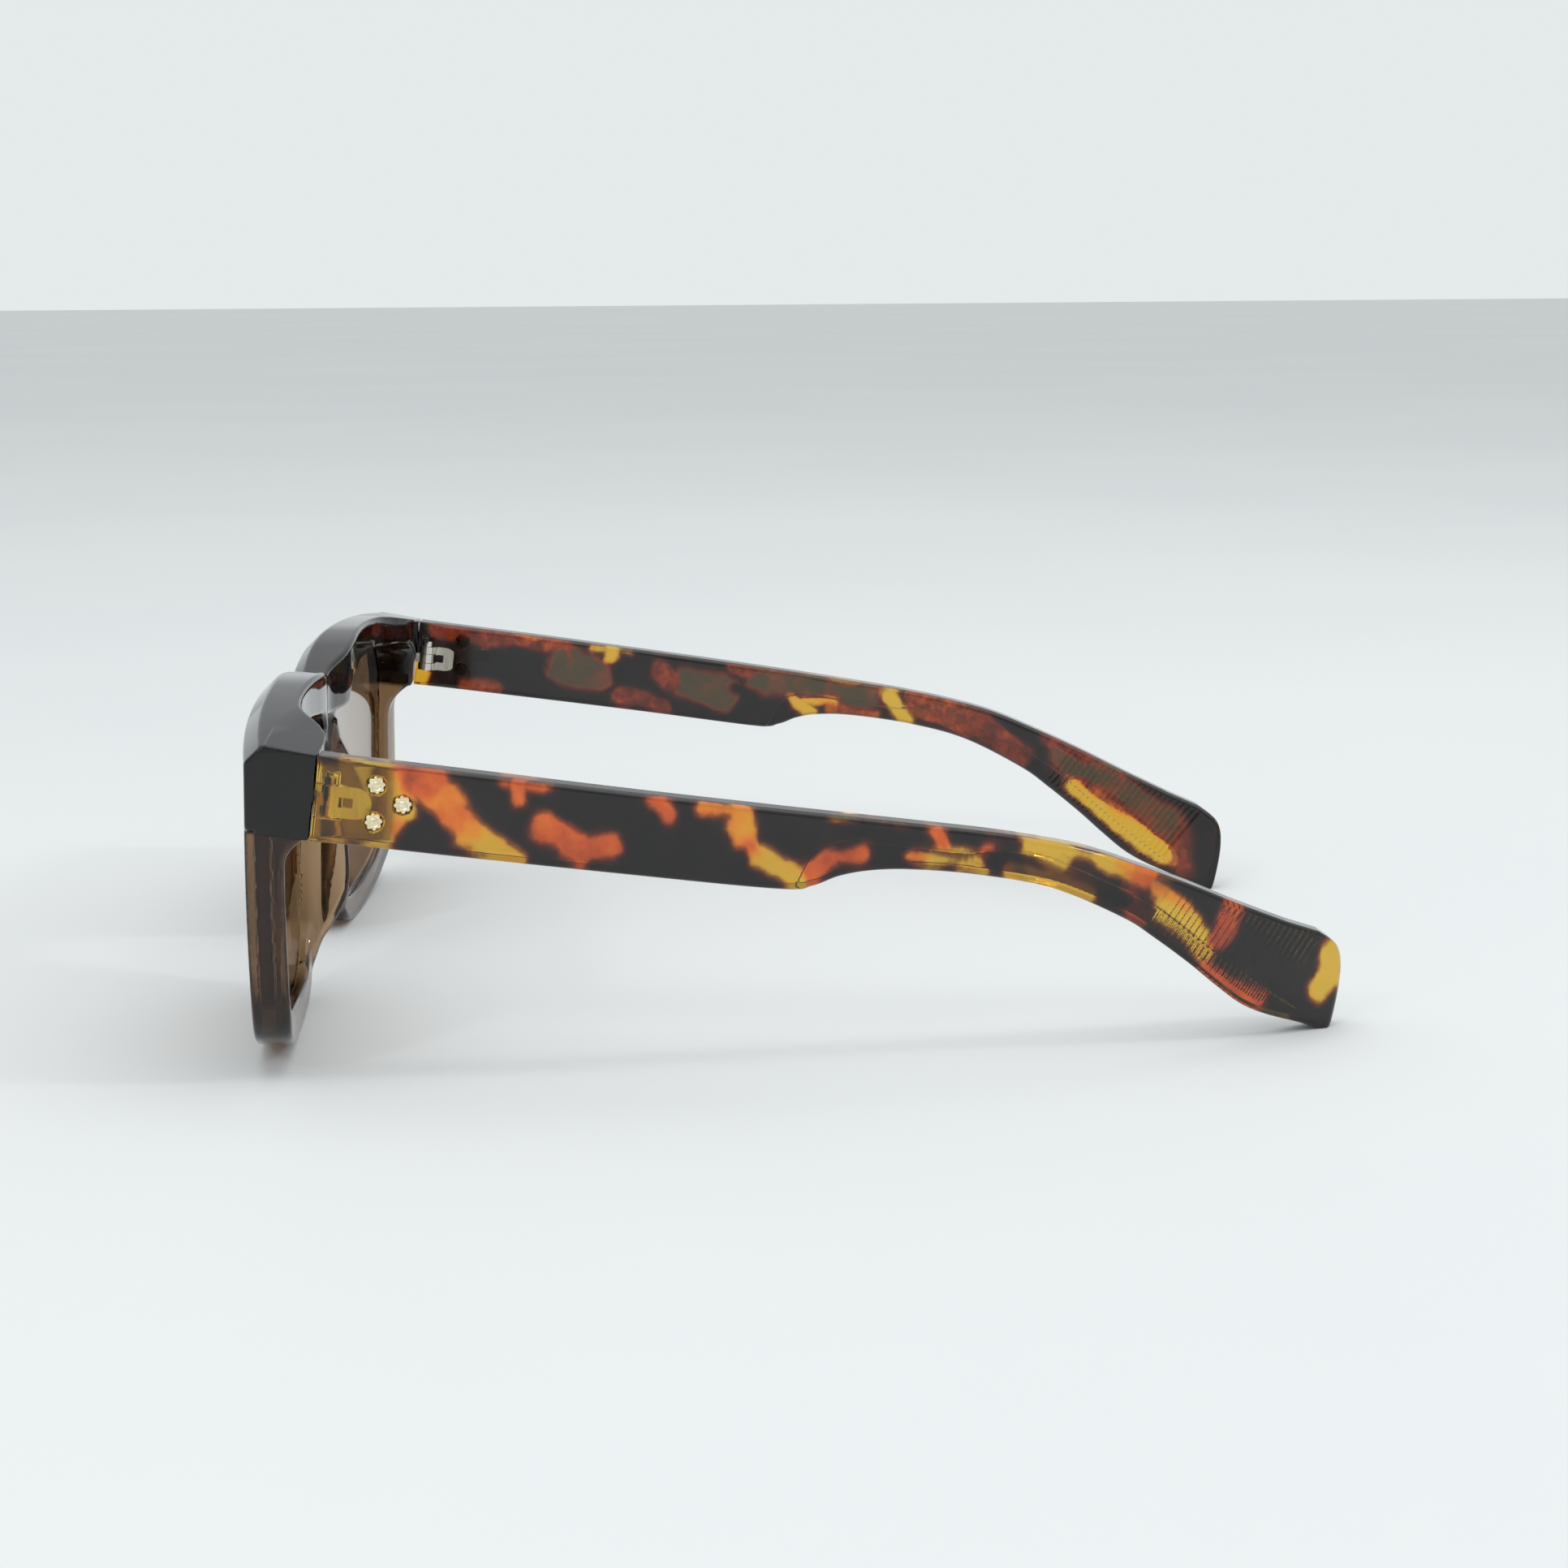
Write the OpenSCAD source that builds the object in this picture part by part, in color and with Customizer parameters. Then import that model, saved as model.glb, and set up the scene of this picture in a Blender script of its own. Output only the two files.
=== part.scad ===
// Folding sunglasses: one-piece moulded front with nose pads, two tinted lenses,
// two temples on three-barrel hinges, hinge screws and star-headed studs.
// Open position, standing on the lower rims and the temple tips.
// +X is the wearer's left, the front faces -Y, +Z is up.

/* [Front] */
// Half of the width over the endpieces, mm
half_width = 73; // [68:0.5:78]
// Backward lean of the whole pair when it stands on its tips, degrees
rest_lean = 7.7; // [6:0.1:12]
// Lean of the front against the temples, degrees
front_lean = 6.3; // [4:0.1:9]
// Depth of the rims, front to back, mm
rim_depth = 5; // [4:0.1:6.5]
// Height of the endpiece block, the same as the temple, mm
end_height = 11.1; // [9:0.1:13]
// Height of the bevel along the front's top edge, mm
top_bevel = 2.3; // [0.5:0.1:3]
// How far the brow reaches forward of the joint, mm
brow_forward = 13; // [11:0.1:15]

/* [Lens] */
// Radius of the lens curve, mm
lens_radius = 300; // [150:10:500]
// Thickness of a lens, mm
lens_thick = 2; // [1.6:0.1:2.4]
// How deep the lens edge sits in the rim groove, mm
lens_lip = 0.7; // [0.4:0.1:1.2]
// Gap between lens and groove, mm
lens_gap = 0.03; // [0:0.01:0.1]

/* [Temple] */
// Thickness of a temple, mm
temple_thick = 4.1; // [3:0.1:5]
// Gap between the endpiece and the temple's front end, mm
joint_gap = 0.4; // [0.2:0.05:0.8]
// Inward curve of the temple at its tip, mm
tip_inward = 25.5; // [15:0.5:30]
// Length of the temple behind the joint, mm
temple_length = 139.5; // [130:0.5:150]

/* [Hinge] */
// Distance of the hinge axis behind the joint, mm
axis_back = 2.2; // [1.8:0.1:3]
// Distance of the hinge axis inward of the temple's inner face, mm
axis_in = 0.6; // [0.4:0.1:1.2]
// Radius of the hinge barrels, mm
barrel_r = 1.3; // [1:0.05:1.6]
// Height of the temple leaf, mm
leaf_height = 4; // [3:0.1:5]
// Height of the middle barrel, mm
mid_barrel = 1.5; // [1:0.1:2]
// Gap above and below the middle barrel, mm
barrel_gap = 0.08; // [0.05:0.01:0.2]
// Radius of the screw's shank, mm
screw_r = 0.6; // [0.4:0.05:0.8]
// Radial clearance of the screw in the middle barrel, mm
run_clear = 0.05; // [0.02:0.01:0.1]
// Radius of the screw's head, mm
head_r = 0.85; // [0.7:0.05:1.1]
// Height of the screw's head, mm
head_h = 0.9; // [0.6:0.1:1.4]
// Clearance pocket around moving barrels, mm
pocket_clear = 0.25; // [0.15:0.05:0.5]

/* [Studs] */
// Outer radius of a star stud, mm
stud_r = 1.25; // [1:0.05:1.5]
// Flutes around a stud
stud_flutes = 8; // [6:1:10]
// Depth of a stud's pin into the temple, mm
stud_pin = 1.8; // [1:0.1:2.5]

/* [Hidden] */
$fn = 48;
HW = half_width;
HX = HW - temple_thick - axis_in;          // hinge axis, distance from the middle plane
LZ = -6.1;                                 // middle height of the hinge below the top edge
SHIFT_Y = -60.76;                          // puts the middle of the box on the origin
SHIFT_Z = 44;                           // height of the joint's top corner

// ---- placing ----
// rest pose: the joint's top corner is the pivot of the lean
module rest() translate([0, SHIFT_Y, SHIFT_Z]) rotate([-rest_lean, 0, 0]) children();
// plane of the front
module tilt() translate([0, -brow_forward, 0.45]) rotate([front_lean, 0, 0]) children();
// the table: rims and tips are flattened a little where they stand
module table() translate([-100, -100, -10]) cube([200, 200, 10]);
module left_right(s) { if (s > 0) children(); else mirror([1, 0, 0]) children(); }

// ---- curves ----
// polygon with rounded corners; each corner is [x, y, radius]
function unit(v) = v / norm(v);
function corner(a, b, c, r, n) =
  let (u = unit([a[0] - b[0], a[1] - b[1]]), v = unit([c[0] - b[0], c[1] - b[1]]),
       half = acos(max(-1, min(1, u * v))) / 2,
       t = r / tan(half), m = unit(u + v), o = [b[0], b[1]] + m * (r / sin(half)),
       p = [b[0], b[1]] + u * t, q = [b[0], b[1]] + v * t,
       a0 = atan2(p[1] - o[1], p[0] - o[0]), a1r = atan2(q[1] - o[1], q[0] - o[0]),
       d = a1r - a0, a1 = a0 + (d > 180 ? d - 360 : d < -180 ? d + 360 : d))
  [for (i = [0:n]) [o[0] + r * cos(a0 + (a1 - a0) * i / n), o[1] + r * sin(a0 + (a1 - a0) * i / n)]];
function rounded(p) = [for (i = [0:len(p) - 1])
  each corner(p[(i + len(p) - 1) % len(p)], p[i], p[(i + 1) % len(p)], p[i][2], p[i][2] > 5 ? 7 : p[i][2] > 1.5 ? 5 : 3)];
// smooth curve through points
function cr(a, b, c, d, t) = 0.5 * ((2 * b) + (c - a) * t + (2 * a - 5 * b + 4 * c - d) * t * t + (3 * b - a - 3 * c + d) * t * t * t);
function smooth(p, n) = [for (i = [0:len(p) - 2]) for (j = [0:n - 1])
  cr(p[max(i - 1, 0)], p[i], p[i + 1], p[min(i + 2, len(p) - 1)], j / n), p[len(p) - 1]];

// ---- front ----
// set-back of the front face across its width
function bow(x) = 4.5 * pow(abs(x) / 73, 2.8) - 0.55;
// height of the top edge across its width
function arch(x) = let (u = abs(x)) u > 28 ? 1.6 - 2.4 * pow((u - 28) / 45, 2) : 1.6 - 4.1 * pow((28 - u) / 28, 2.2);
function front_edge(step) = [for (x = [-HW - 2:step:HW + 2]) [x, bow(x)]];
// right half of the outline as seen from the front, x outward
half_outline = [[0, -2.5, 5], [7.5, -0.55, 12], [16, 0.95, 20], [28, 1.65, 30], [43, 1.35, 40], [58, 0.55, 40], [HW, -0.8, 1],
  [HW, -11.6, 0.8], [71.4, -12, 0.5], [70.9, -26, 20], [68.9, -39.6, 10], [54, -44.6, 22], [38, -46.5, 60],
  [20.5, -45.2, 10], [11.6, -20.5, 18], [7.6, -12.6, 5.5], [0, -11, 6]];
function flip(p) = [for (i = [len(p) - 1:-1:0]) [-p[i][0], p[i][1], p[i][2]]];
outline_pts = rounded(concat([for (i = [1:len(half_outline) - 2]) half_outline[i]], [[0, -11, 9]],
  flip([for (i = [1:len(half_outline) - 2]) half_outline[i]]), [[0, -2.5, 5]]));
// eye opening, right half, grown outward by g
function eye(g) = rounded([[12.1 - g, -5.6 + g, 7 + g], [32, -3.7 + g, 60], [67 + g, -4.6 + g, 8 + g],
  [64 + g, -36.4 - g, 9 + g], [51.5, -40.5 - g, 22], [37, -42.2 - g, 60], [20.6 - g, -41.4 - g, 12 + g], [15.4 - g, -24, 40]]);
module extrude_y(y0, y1) translate([0, y0, 0]) rotate([90, 0, 0]) mirror([0, 0, 1]) linear_extrude(y1 - y0) children();
// rims: everything between the front face and the face behind it
module band(d) translate([0, 0, -60]) linear_extrude(70)
  polygon(concat(front_edge(3), [for (i = [len(front_edge(3)) - 1:-1:0]) [front_edge(3)[i][0], front_edge(3)[i][1] + d]]));
// brow bar, deeper than the rims
brow_back = smooth([[0, 7.2], [8, 7.4], [14, 7.4], [21.5, 7.3], [28, 7.3], [36, 7.3], [44, 7.6], [50, 8.4], [54, 9.6], [57.3, 11.1], [60, 12.2], [66, 12.9]], 2);
module brow() translate([0, 0, -8.5]) linear_extrude(20)
  polygon(concat([for (x = [-66:6:66]) [x, bow(x) + 2.5]], [for (i = [len(brow_back) - 1:-1:0]) brow_back[i]],
    [for (i = [1:len(brow_back) - 1]) [-brow_back[i][0], brow_back[i][1]]]));
// endpiece block, square to the temple
module end_block(s) left_right(s) translate([0, 0, -end_height])
  linear_extrude(end_height + 1.2)
    polygon([[HW, -6.6], [HW, 0], [66, 0], [62, -0.2], [59.5, -1], [57, -2.3], [54, -4], [50, -5.5], [50, -6.6]]);
// the top falls to the outside and the rear at the endpieces
module top_cut(s) left_right(s) translate([HW, 12.8, -1.9]) rotate([-9.8, 5.7, 0]) translate([-50, -40, 0]) cube([80, 80, 20]);
// bevel along the front's top edge, following bow and arch
module bevel(s) left_right(s) for (x = [-1:7.4:HW]) let (a = atan2(bow(x + 7.4) - bow(x), 7.4), b = atan2(arch(x + 7.4) - arch(x), 7.4))
  translate([x, bow(x), arch(x)]) rotate([0, -b, a]) translate([-0.5, 0, 0]) rotate([90, 0, 90]) linear_extrude(8.5)
    polygon([[-3, -top_bevel], [0, -top_bevel], [top_bevel, 0], [top_bevel + 1, 1], [-3, 3]]);
// concave shoulder under the endpiece
module shoulder(s) left_right(s) translate([60, 0, 0]) rotate([90, 0, 90]) linear_extrude(20)
  difference() {
    polygon([[5.5, -7], [12, -7], [12, -11.5], [7, -20.5], [5.5, -20.5]]);
    translate([16.2, -20.5]) circle(r = 9, $fn = 72);
  }
module rims() intersection() {
  extrude_y(-4, 16) polygon(outline_pts);
  union() {
    band(rim_depth);
    brow();
    shoulder(1);
    shoulder(-1);
  }
}
// nose pad behind the nasal side of each rim
pad_side = smooth([[2, -8], [5.4, -10], [6.3, -13.5], [8.2, -18], [9.9, -22.5], [10.7, -27.5], [10.4, -31.5], [8.8, -35], [6.9, -38], [5, -41], [2, -43.5]], 4);
module pad(s) left_right(s) intersection() {
  translate([15 - 9, 0, 0]) rotate([90, 0, 90]) linear_extrude(18) polygon(pad_side);
  translate([0, 0, -28]) rotate([0, -16, 0]) translate([0, 0, -30]) linear_extrude(60)
    polygon(smooth([[12.5, 0.5], [12.9, 4], [13.9, 7.5], [15.2, 10], [16.4, 10.9], [17, 10], [16.6, 7.5], [15.9, 4.5], [15.5, 0.5]], 2));
}
module lens_slab(g, t) intersection() {
  extrude_y(-3, 12) polygon(eye(g));
  translate([39, 0, 0]) rotate([0, 0, 3.4]) translate([0, lens_radius + 1.5, -60]) difference() {
    cylinder(r = lens_radius + (t - lens_thick) / 2, h = 70, $fn = 360);
    translate([0, 0, -1]) cylinder(r = lens_radius - lens_thick - (t - lens_thick) / 2, h = 72, $fn = 360);
  }
}
module lens(s) color([0.36, 0.22, 0.12]) rest() left_right(s) tilt() lens_slab(lens_lip - lens_gap, lens_thick);

// anchor of the front leaf inside the endpiece
module leaf_anchor(g) {
  translate([HX - 1.5 - g, -1 - g, LZ - leaf_height / 2 - g]) cube([3 + 2 * g, 1 + g + (g > 0 ? 1 : 0), leaf_height + 2 * g]);
  translate([HX, 0, LZ]) rotate([90, 0, 0]) cylinder(r = 1.1 + g, h = 5.5 + g);
}
module front_solid() difference() {
  union() {
    difference() {
      union() {
        tilt() rims();
        end_block(1);
        end_block(-1);
      }
      for (s = [1, -1]) left_right(s) tilt() extrude_y(-5, 25) polygon(eye(0));
    }
    tilt() { pad(1); pad(-1); }
  }
  // leaf sockets, lens grooves
  for (s = [1, -1]) left_right(s) {
    leaf_anchor(0.02);
    tilt() lens_slab(lens_lip, lens_thick + 2 * lens_gap);
  }
  tilt() { bevel(1); bevel(-1); top_cut(1); top_cut(-1); }
}
module frame_front() color([0.2, 0.15, 0.1]) difference() { rest() front_solid(); table(); }

// ---- temple ----
function inward(y) = let (u = max(y, 0) / temple_length) tip_inward * (0.03 * u + 0.17 * u * u + 0.8 * u * u * u);
temple_top = [[joint_gap, -0.05], [19, -0.1], [38, -0.25], [57, -0.4], [71, -0.55], [85, -0.85], [93, -1.35], [100, -2.2],
  [107, -3.9], [114.5, -6], [122, -8.4], [130, -10.8]];
temple_tip = [[135.2, -12.1], [138.4, -14.2], [139.5, -18.2], [139.2, -25.2], [138, -26]];
temple_low = [[134, -24.9], [129, -23.8], [125, -22.4], [121, -20], [116.5, -17], [111, -13.7], [106, -11.1], [96, -7.8], [86, -6.7],
  [77, -6.7], [71.5, -7.3], [67.5, -8.4], [64.2, -10], [60, -10.8], [40, -10.9], [20, -11], [joint_gap, -11.1]];
module temple_blank() intersection() {
  translate([30, 0, 0]) rotate([90, 0, 90]) linear_extrude(50)
    polygon(concat(smooth(temple_top, 2), smooth(temple_tip, 2), smooth(temple_low, 2)));
  translate([0, 0, -40]) linear_extrude(50) polygon(concat(
    [for (y = [-2:temple_length / 30:temple_length + 3]) [HW - inward(y), y]],
    [for (y = [temple_length + 3:-temple_length / 30:-2]) [HW - temple_thick - inward(y), y]]));
}
module leaf_plate(g) translate([HW - temple_thick - 0.05, 0, 0]) rotate([90, 0, 90]) linear_extrude(1 + g) {
  translate([axis_back, LZ - leaf_height / 2 - g]) square([3.2, leaf_height + 2 * g]);
  translate([axis_back + 3.2, LZ]) circle(r = leaf_height / 2 + g);
}
module temple_solid() difference() {
  temple_blank();
  leaf_plate(0.02);
  translate([HX, axis_back, LZ - leaf_height / 2 - 0.3]) cylinder(r = barrel_r + pocket_clear, h = leaf_height + 0.32);
  translate([HX - 1, -1, LZ - leaf_height / 2 - 0.3]) cube([2.05 + pocket_clear, axis_back + 1, leaf_height + 0.32]);
  translate([HX, axis_back, LZ]) cylinder(r = head_r + 0.2, h = 3.6);
  for (p = stud_at) translate([HW - inward(p[0]) - stud_pin - 0.07, p[0], p[1]]) rotate([0, 90, 0]) cylinder(r = stud_r + 0.02, h = 4, $fn = 32);
}
module temple(s) color([0.35, 0.16, 0.06]) difference() { rest() left_right(s) temple_solid(); table(); }

// ---- hinge ----
module front_leaf(s) color([0.75, 0.75, 0.72]) rest() left_right(s) difference() {
  union() {
    leaf_anchor(0);
    // arm to the middle barrel
    translate([HX - 0.7, -0.5, LZ - mid_barrel / 2]) cube([1.4, axis_back + 0.5, mid_barrel]);
    translate([HX, axis_back, LZ - mid_barrel / 2]) cylinder(r = barrel_r, h = mid_barrel);
  }
  translate([HX, axis_back, LZ - 3]) cylinder(r = screw_r + run_clear, h = 6);
}
module temple_leaf(s) color([0.75, 0.75, 0.72]) rest() left_right(s) difference() {
  union() {
    leaf_plate(0);
    translate([HX, axis_back, LZ - leaf_height / 2]) cylinder(r = barrel_r, h = leaf_height);
    translate([HX - 0.2, axis_back, LZ - leaf_height / 2]) cube([axis_in + 0.6, 1.8, leaf_height]);
  }
  // room for the middle barrel and its arm, and the slot behind it
  translate([HX, axis_back, LZ - mid_barrel / 2 - barrel_gap]) cylinder(r = barrel_r + pocket_clear, h = mid_barrel + 2 * barrel_gap);
  translate([HX - 3, -3, LZ - mid_barrel / 2 - barrel_gap]) cube([6, axis_back + 3, mid_barrel + 2 * barrel_gap]);
  translate([HX - 3, axis_back, LZ - mid_barrel / 2 - barrel_gap]) cube([2.9, 1.6, mid_barrel + 2 * barrel_gap]);
  translate([HX - 2, axis_back + 1.1, LZ - 0.65]) cube([5, 1.8, 1.3]);
  translate([HX, axis_back, LZ - 3]) cylinder(r = screw_r + 0.02, h = 6);
}
module hinge_screw(s) color([0.8, 0.8, 0.78]) rest() left_right(s) difference() {
  union() {
    translate([HX, axis_back, LZ - leaf_height / 2 - 0.15]) cylinder(r = screw_r, h = leaf_height + 0.2);
    translate([HX, axis_back, LZ + leaf_height / 2 + 0.02]) cylinder(r = head_r, h = head_h);
  }
  translate([HX - 2, axis_back - 0.12, LZ + leaf_height / 2 + head_h - 0.3]) cube([4, 0.24, 1]);
}

// ---- studs ----
stud_at = [[8, -3, 0], [8.1, -7.7, 1], [11.5, -5.1, 2]];
module star() linear_extrude(stud_pin) difference() {
  circle(r = stud_r, $fn = 32);
  for (k = [0:stud_flutes - 1]) rotate(k * 360 / stud_flutes) translate([stud_r, 0]) circle(r = stud_r * 0.26, $fn = 16);
}
module stud(s, i) color([0.83, 0.78, 0.6]) rest() left_right(s)
  translate([HW - inward(stud_at[i][0]) - stud_pin, stud_at[i][0], stud_at[i][1]]) rotate([0, 90, 0]) translate([0, 0, -0.05]) star();

module lens_left() lens(1);
module lens_right() lens(-1);
module temple_left() temple(1);
module temple_right() temple(-1);
module front_leaf_left() front_leaf(1);
module front_leaf_right() front_leaf(-1);
module temple_leaf_left() temple_leaf(1);
module temple_leaf_right() temple_leaf(-1);
module hinge_screw_left() hinge_screw(1);
module hinge_screw_right() hinge_screw(-1);
module stud_left_upper() stud(1, 0);
module stud_left_lower() stud(1, 1);
module stud_left_rear() stud(1, 2);
module stud_right_upper() stud(-1, 0);
module stud_right_lower() stud(-1, 1);
module stud_right_rear() stud(-1, 2);

frame_front();
lens_left();
lens_right();
temple_left();
temple_right();
front_leaf_left();
front_leaf_right();
temple_leaf_left();
temple_leaf_right();
hinge_screw_left();
hinge_screw_right();
stud_left_upper();
stud_left_lower();
stud_left_rear();
stud_right_upper();
stud_right_lower();
stud_right_rear();
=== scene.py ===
import bpy, bmesh, math
import numpy as np
from mathutils import Matrix, Vector


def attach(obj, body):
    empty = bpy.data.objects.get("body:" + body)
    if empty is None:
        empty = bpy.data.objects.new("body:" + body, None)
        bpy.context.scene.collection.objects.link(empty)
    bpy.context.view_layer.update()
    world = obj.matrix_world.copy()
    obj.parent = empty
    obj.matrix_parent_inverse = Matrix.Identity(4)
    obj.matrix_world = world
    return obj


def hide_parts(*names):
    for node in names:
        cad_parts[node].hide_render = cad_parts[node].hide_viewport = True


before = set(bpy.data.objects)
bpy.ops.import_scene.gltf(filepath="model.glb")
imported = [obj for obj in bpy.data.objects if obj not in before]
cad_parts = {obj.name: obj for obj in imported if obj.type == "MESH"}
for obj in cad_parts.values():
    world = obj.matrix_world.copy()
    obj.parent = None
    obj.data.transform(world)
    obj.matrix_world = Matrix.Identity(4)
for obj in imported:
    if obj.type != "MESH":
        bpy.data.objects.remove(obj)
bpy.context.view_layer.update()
MM = 0.001
scene = bpy.context.scene
scene.view_settings.view_transform = "Standard"
scene.view_settings.look = "None"
scene.view_settings.exposure = 0.0
scene.view_settings.gamma = 1.0

# ------------------------------------------------------------------ camera
cam = bpy.data.cameras.new("camera")
cam.lens, cam.sensor_width, cam.clip_start = 66.875, 36.0, 0.01
cam_ob = bpy.data.objects.new("camera", cam)
scene.collection.objects.link(cam_ob)
RIGHT = Vector((0.033134, 0.999423, -0.007482))
UP = Vector((-0.172830, 0.013103, 0.984864))
AHEAD = Vector((-0.984394, 0.031339, -0.173164))
cam_ob.matrix_world = Matrix(((RIGHT.x, UP.x, -AHEAD.x, 0.43409), (RIGHT.y, UP.y, -AHEAD.y, -0.013598),
                              (RIGHT.z, UP.z, -AHEAD.z, 0.103005), (0, 0, 0, 1)))
scene.camera = cam_ob

# ------------------------------------------------------------------ the three frames, mm
# row: as packed. G: square to the temples, origin at the joint's top outer corner line. P: plane of the front.
LEAN, TILT = math.radians(7.7), math.radians(6.3)
SHIFT_Y, SHIFT_Z = -60.76, 44.0
HW, TEMPLE, LEN = 73.0, 4.1, 139.5
HX, AXIS_BACK, LZ = 68.3, 2.2, -6.1


def row_of_g(v):
    c, s = math.cos(LEAN), math.sin(LEAN)
    return np.stack([v[:, 0], v[:, 1] * c + v[:, 2] * s + SHIFT_Y, -v[:, 1] * s + v[:, 2] * c + SHIFT_Z], 1)


def g_of_p(y, z):
    c, s = math.cos(TILT), math.sin(TILT)
    return -13 + y * c - z * s, 0.45 + y * s + z * c


def row_of_p(v):
    y, z = g_of_p(v[:, 1], v[:, 2])
    return row_of_g(np.stack([v[:, 0], y, z], 1))


# ------------------------------------------------------------------ 2-D outlines
def rounded(p):
    out, n = [], len(p)
    for i in range(n):
        a, b, c, r = np.array(p[i - 1][:2]), np.array(p[i][:2]), np.array(p[(i + 1) % n][:2]), p[i][2]
        u, v = (a - b) / np.linalg.norm(a - b), (c - b) / np.linalg.norm(c - b)
        half = math.acos(max(-1, min(1, float(u @ v)))) / 2
        m = (u + v) / np.linalg.norm(u + v)
        o = b + m * (r / math.sin(half))
        s, e = b + u * r / math.tan(half) - o, b + v * r / math.tan(half) - o
        a0 = math.atan2(s[1], s[0])
        d = (math.atan2(e[1], e[0]) - a0 + math.pi) % (2 * math.pi) - math.pi
        k = max(14, int(abs(d) * r / 0.2) + 6)
        out += [(o[0] + r * math.cos(a0 + d * j / k), o[1] + r * math.sin(a0 + d * j / k)) for j in range(k + 1)]
    return out


def smooth(p, n=8):
    p, out = [np.array(q, float) for q in p], []
    for i in range(len(p) - 1):
        a, b, c, d = p[max(i - 1, 0)], p[i], p[i + 1], p[min(i + 2, len(p) - 1)]
        for j in range(n):
            t = j / n
            out.append(0.5 * (2 * b + (c - a) * t + (2 * a - 5 * b + 4 * c - d) * t * t + (3 * b - a - 3 * c + d) * t ** 3))
    return [tuple(q) for q in out] + [tuple(p[-1])]


def soften(pts, sigma, mask=None, step_mm=0.25):
    """Round a closed outline: even steps along it, blurred by sigma mm; mask(p) is 1 where it may move."""
    p = np.array(pts, float)
    q = np.vstack([p, p[:1]])
    seg = np.hypot(*np.diff(q, axis=0).T)
    s = np.concatenate([[0], np.cumsum(seg)])
    n = int(s[-1] / step_mm)
    t = np.arange(n) * s[-1] / n
    c = np.stack([np.interp(t, s, q[:, 0]), np.interp(t, s, q[:, 1])], 1)
    k = np.fft.fftfreq(n, d=s[-1] / n) * 2 * math.pi

    def blur(v, w):
        return np.real(np.fft.ifft(np.fft.fft(v) * np.exp(-0.5 * (k * w) ** 2)))

    b = np.stack([blur(c[:, 0], sigma), blur(c[:, 1], sigma)], 1)
    if mask is None:
        return b
    m = np.clip(blur(mask(c).astype(float), 1.2), 0, 1)[:, None]
    return c + (b - c) * m


class Shape:
    """Signed distance to a closed outline, kept on a fine grid and read back smoothly."""

    def __init__(self, pts, h=0.2, pad=3.0):
        pts = np.array(pts, float)
        self.lo, self.h = pts.min(0) - pad, h
        n = np.ceil((pts.max(0) + pad - self.lo) / h).astype(int) + 1
        x = (self.lo[0] + h * np.arange(n[0]))[:, None]
        y = (self.lo[1] + h * np.arange(n[1]))[None, :]
        d, s = np.full((n[0], n[1]), 1e9), np.zeros((n[0], n[1]), bool)
        for i in range(len(pts)):
            (ax, ay), (bx, by) = pts[i], pts[i - 1]
            ex, ey = bx - ax, by - ay
            L = ex * ex + ey * ey
            if L < 1e-12:
                continue
            wx, wy = x - ax, y - ay
            t = np.clip((wx * ex + wy * ey) / L, 0, 1)
            np.minimum(d, (wx - ex * t) ** 2 + (wy - ey * t) ** 2, out=d)
            if ey:
                s ^= ((ay > y) != (by > y)) & (x < ex * (y - ay) / ey + ax)
        self.v = np.where(s, -1, 1) * np.sqrt(d)

    def __call__(self, x, y):
        x, y = np.broadcast_arrays(x, y)
        u = np.clip((x - self.lo[0]) / self.h, 1, self.v.shape[0] - 3.001)
        w = np.clip((y - self.lo[1]) / self.h, 1, self.v.shape[1] - 3.001)
        i, j = u.astype(int), w.astype(int)
        a, b = u - i, w - j

        def weights(t):
            return (-0.5 * t + t * t - 0.5 * t ** 3, 1 - 2.5 * t * t + 1.5 * t ** 3, 0.5 * t + 2 * t * t - 1.5 * t ** 3, -0.5 * t * t + 0.5 * t ** 3)

        wa, wb = weights(a), weights(b)
        out = 0
        for m in range(4):
            for k in range(4):
                out = out + wa[m] * wb[k] * self.v[i + m - 1, j + k - 1]
        return out


def rmax(a, b, r):
    a1, b1 = a + r, b + r
    return np.minimum(np.maximum(a1, b1), 0) + np.sqrt(np.maximum(a1, 0) ** 2 + np.maximum(b1, 0) ** 2) - r


def rmin(a, b, r):
    return -rmax(-a, -b, r)


def step(a, b, x):
    t = np.clip((x - a) / (b - a), 0, 1)
    return t * t * (3 - 2 * t)


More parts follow.
